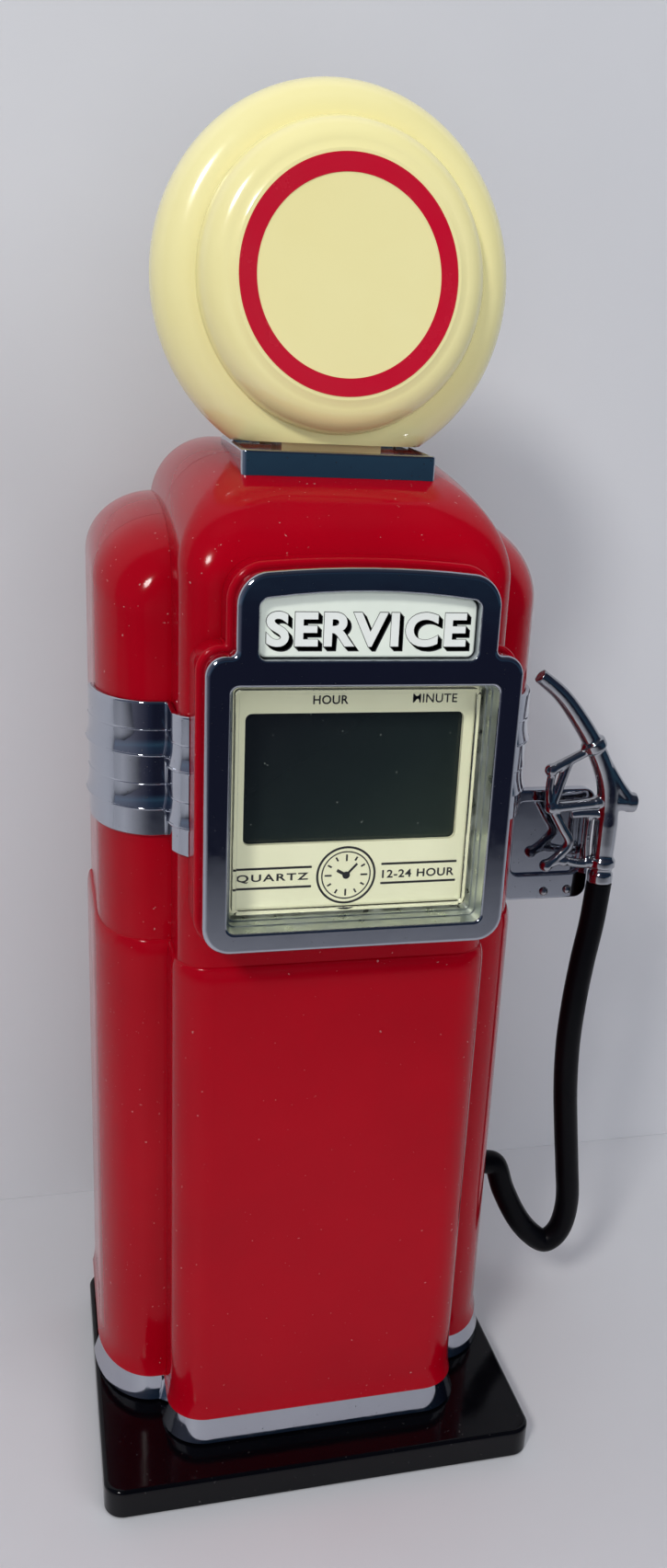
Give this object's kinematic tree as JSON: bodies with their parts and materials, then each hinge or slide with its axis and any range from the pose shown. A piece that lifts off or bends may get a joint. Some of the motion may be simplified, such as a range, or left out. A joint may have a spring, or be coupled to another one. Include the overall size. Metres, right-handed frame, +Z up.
{
  "type": "petrol pump shaped alarm clock",
  "caption": "Desk-top alarm clock shaped like an old petrol pump, with a display behind a chromed bezel, a globe on top, and a nozzle and hose at its side.",
  "frame": {"origin": "middle of the base plate's underside", "axes": "+Z up, -Y towards the front where the display faces, +X towards the hose side"},
  "size_m": [0.1016, 0.0596, 0.2305],
  "materials": {
    "red_plastic": "gloss",
    "cream_plastic": "gloss",
    "crimson_ink": "satin",
    "chrome_plate": "polished",
    "steel": "satin",
    "black_plastic": "gloss",
    "black_vinyl": "satin",
    "rubber": "matte",
    "board_green": "satin",
    "grey_plastic": "satin",
    "display_glass": "gloss",
    "clear_plastic": "gloss",
    "sign_card": "satin",
    "brass": "satin",
    "cell_wrap": "satin"
  },
  "bodies": {
    "root": {"base_plate": "black_plastic", "base_screw_1": "steel", "base_screw_2": "steel", "base_screw_3": "steel", "base_screw_4": "steel", "battery_cell": "cell_wrap", "battery_spring": "steel", "battery_tray": "black_plastic", "board_screw_1": "steel", "board_screw_2": "steel", "circuit_board": "board_green", "clock_bezel": "chrome_plate", "clock_chip": "black_plastic", "clock_lens": "clear_plastic", "control_board": "board_green", "control_panel": "black_plastic", "cradle_rivet_1": "steel", "cradle_rivet_2": "steel", "dial_card": "cream_plastic", "foot_trim": "chrome_plate", "front_shell": "red_plastic", "globe_front": "cream_plastic", "globe_holder": "chrome_plate", "globe_rear": "cream_plastic", "globe_ring": "crimson_ink", "hose": "black_vinyl", "hose_socket": "black_plastic", "lcd_frame": "black_plastic", "lcd_glass": "display_glass", "nozzle_cradle": "chrome_plate", "positive_contact": "steel", "quartz_crystal": "steel", "rear_shell": "red_plastic", "ribbon_cable": "grey_plastic", "shell_screw_1": "steel", "shell_screw_2": "steel", "shell_screw_3": "steel", "shell_screw_4": "steel", "side_band_left": "chrome_plate", "side_band_right": "chrome_plate", "sign_plate": "sign_card", "sounder": "brass", "zebra_strip_lower": "rubber", "zebra_strip_upper": "rubber"},
    "nozzle": {"nozzle": "chrome_plate"},
    "hour_button": {"hour_button": "grey_plastic"},
    "minute_button": {"minute_button": "grey_plastic"},
    "mode_button": {"mode_button": "grey_plastic"},
    "alarm_switch": {"alarm_switch": "crimson_ink"},
    "battery_door": {"battery_door": "red_plastic"}
  },
  "joints": [
    {"name": "nozzle_lift", "type": "slide", "parent": "root", "child": "nozzle", "axis": [1, 0, 0], "range_m": [0, 0.008]},
    {"name": "hour_press", "type": "slide", "parent": "root", "child": "hour_button", "axis": [0, -1, 0], "range_m": [0, 0.001]},
    {"name": "minute_press", "type": "slide", "parent": "root", "child": "minute_button", "axis": [0, -1, 0], "range_m": [0, 0.001]},
    {"name": "mode_press", "type": "slide", "parent": "root", "child": "mode_button", "axis": [0, -1, 0], "range_m": [0, 0.001]},
    {"name": "alarm_slide", "type": "slide", "parent": "root", "child": "alarm_switch", "axis": [1, 0, 0], "range_m": [0, 0.004]},
    {"name": "battery_door_lift", "type": "slide", "parent": "root", "child": "battery_door", "axis": [0, 1, 0], "range_m": [0, 0.01]}
  ]
}
